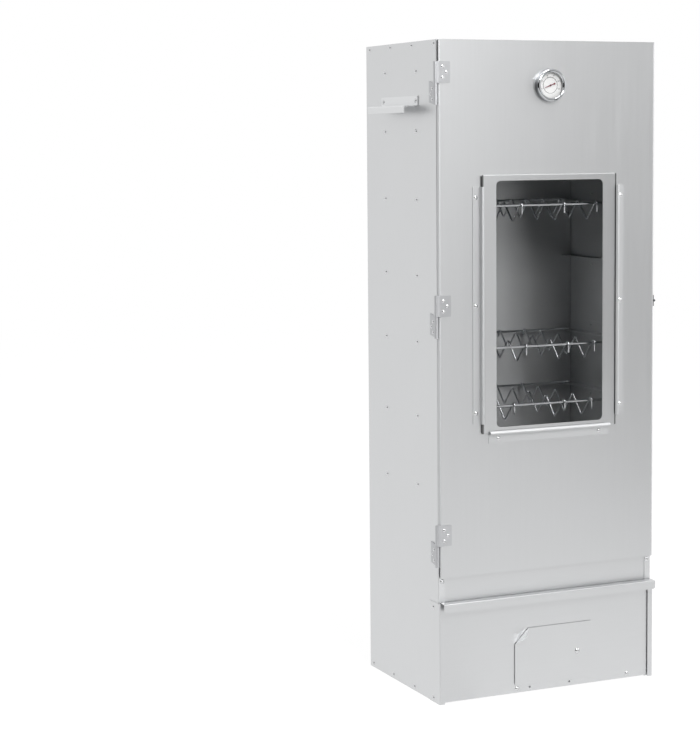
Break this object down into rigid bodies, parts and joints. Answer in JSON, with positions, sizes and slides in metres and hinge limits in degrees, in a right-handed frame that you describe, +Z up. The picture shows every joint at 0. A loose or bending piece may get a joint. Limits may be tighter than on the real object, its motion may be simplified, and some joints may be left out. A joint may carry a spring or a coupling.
{
  "type": "cabinet smoker",
  "caption": "Tall folded-steel cabinet smoker with a hinged door, sliding glass window, dial thermometer, wire racks, lift-out draught panel with air shutter, and side carry handles.",
  "frame": {"origin": "centre of the flat base, on the floor", "axes": "+Z up; -Y the front with the door; +X to the right of a person facing the door"},
  "size_m": [0.447, 0.281, 1.0533],
  "materials": {
    "sheet_steel": "satin bare coated sheet",
    "rivet_steel": "satin",
    "wire_steel": "drawn bright",
    "dark_steel": "dark oxide",
    "bright_steel": "polished",
    "dial_enamel": "matt white",
    "needle_red": "red lacquer",
    "clear_glass": "clear",
    "seal": "matt black"
  },
  "bodies": {
    "cabinet": {"left_side": "sheet_steel", "right_side": "sheet_steel", "back_panel": "sheet_steel", "roof": "sheet_steel", "floor_pan": "sheet_steel", "front_strip": "sheet_steel", "left_rails": "sheet_steel", "right_rails": "sheet_steel", "left_handle": "sheet_steel", "right_handle": "sheet_steel", "left_guide": "sheet_steel", "right_guide": "sheet_steel", "left_rivets": "rivet_steel", "right_rivets": "rivet_steel", "back_rivets": "rivet_steel", "front_rivets": "rivet_steel", "hinge_cabinet_leaves": "sheet_steel", "hinge_pins": "rivet_steel", "hinge_cabinet_rivets": "rivet_steel", "latch_pivot": "dark_steel", "damper_pivot": "rivet_steel"},
    "door": {"door_panel": "sheet_steel", "door_seal": "seal", "hinge_door_leaves": "sheet_steel", "hinge_door_rivets": "rivet_steel", "left_track": "sheet_steel", "right_track": "sheet_steel", "sill_track": "sheet_steel", "track_rivets": "rivet_steel", "latch_keeper": "dark_steel", "keeper_rivets": "dark_steel", "thermometer_case": "bright_steel", "thermometer_dial": "dial_enamel", "thermometer_lens": "clear_glass", "thermometer_probe": "bright_steel", "thermometer_nut": "bright_steel"},
    "needle": {"thermometer_needle": "needle_red"},
    "window": {"window_frame": "sheet_steel", "window_glass": "clear_glass", "window_bead": "seal"},
    "draught": {"draught_panel": "sheet_steel", "panel_rivets": "rivet_steel", "shutter_pivot": "rivet_steel"},
    "shutter": {"air_shutter": "sheet_steel"},
    "top_rack": {"top_rack_rods": "wire_steel", "top_rack_wires": "wire_steel"},
    "middle_rack": {"middle_rack_rods": "wire_steel", "middle_rack_wires": "wire_steel"},
    "lower_rack": {"lower_rack_rods": "wire_steel", "lower_rack_wires": "wire_steel"},
    "water": {"water_pan": "sheet_steel"},
    "embers": {"ember_tray": "dark_steel"},
    "latch": {"latch_hook": "dark_steel"},
    "damper": {"damper_plate": "sheet_steel"}
  },
  "joints": [
    {"name": "door_swing", "type": "hinge", "parent": "cabinet", "child": "door", "pos_m": [-0.2009, -0.13392, 0.619], "axis": [0, 0, -1], "range_deg": [0, 175]},
    {"name": "window_lift", "type": "slide", "parent": "door", "child": "window", "axis": [0, 0, 1], "range_m": [0, 0.105]},
    {"name": "needle_turn", "type": "hinge", "parent": "door", "child": "needle", "pos_m": [0, -0.1406, 0.9795], "axis": [0, 1, 0], "range_deg": [0, 220], "stiffness_Nm_per_rad": 0.0005},
    {"name": "panel_lift", "type": "slide", "parent": "cabinet", "child": "draught", "axis": [0, 0, 1], "range_m": [0, 0.035]},
    {"name": "shutter_swing", "type": "hinge", "parent": "draught", "child": "shutter", "pos_m": [0.054, -0.1348, 0.059], "axis": [0, 1, 0], "range_deg": [0, 28]},
    {"name": "top_rack_slide", "type": "slide", "parent": "cabinet", "child": "top_rack", "axis": [0, -1, 0], "range_m": [0, 0.009]},
    {"name": "middle_rack_slide", "type": "slide", "parent": "cabinet", "child": "middle_rack", "axis": [0, -1, 0], "range_m": [0, 0.009]},
    {"name": "lower_rack_slide", "type": "slide", "parent": "cabinet", "child": "lower_rack", "axis": [0, -1, 0], "range_m": [0, 0.009]},
    {"name": "water_pan_slide", "type": "slide", "parent": "cabinet", "child": "water", "axis": [0, -1, 0], "range_m": [0, 0.008]},
    {"name": "ember_tray_slide", "type": "slide", "parent": "cabinet", "child": "embers", "axis": [0, -1, 0], "range_m": [0, 0.008]},
    {"name": "latch_turn", "type": "hinge", "parent": "cabinet", "child": "latch", "pos_m": [0.20005, -0.11, 0.629], "axis": [1, 0, 0], "range_deg": [0, 90]},
    {"name": "damper_turn", "type": "hinge", "parent": "cabinet", "child": "damper", "pos_m": [0.052, 0, 1.0509], "axis": [0, 0, 1], "range_deg": [0, 90]}
  ]
}
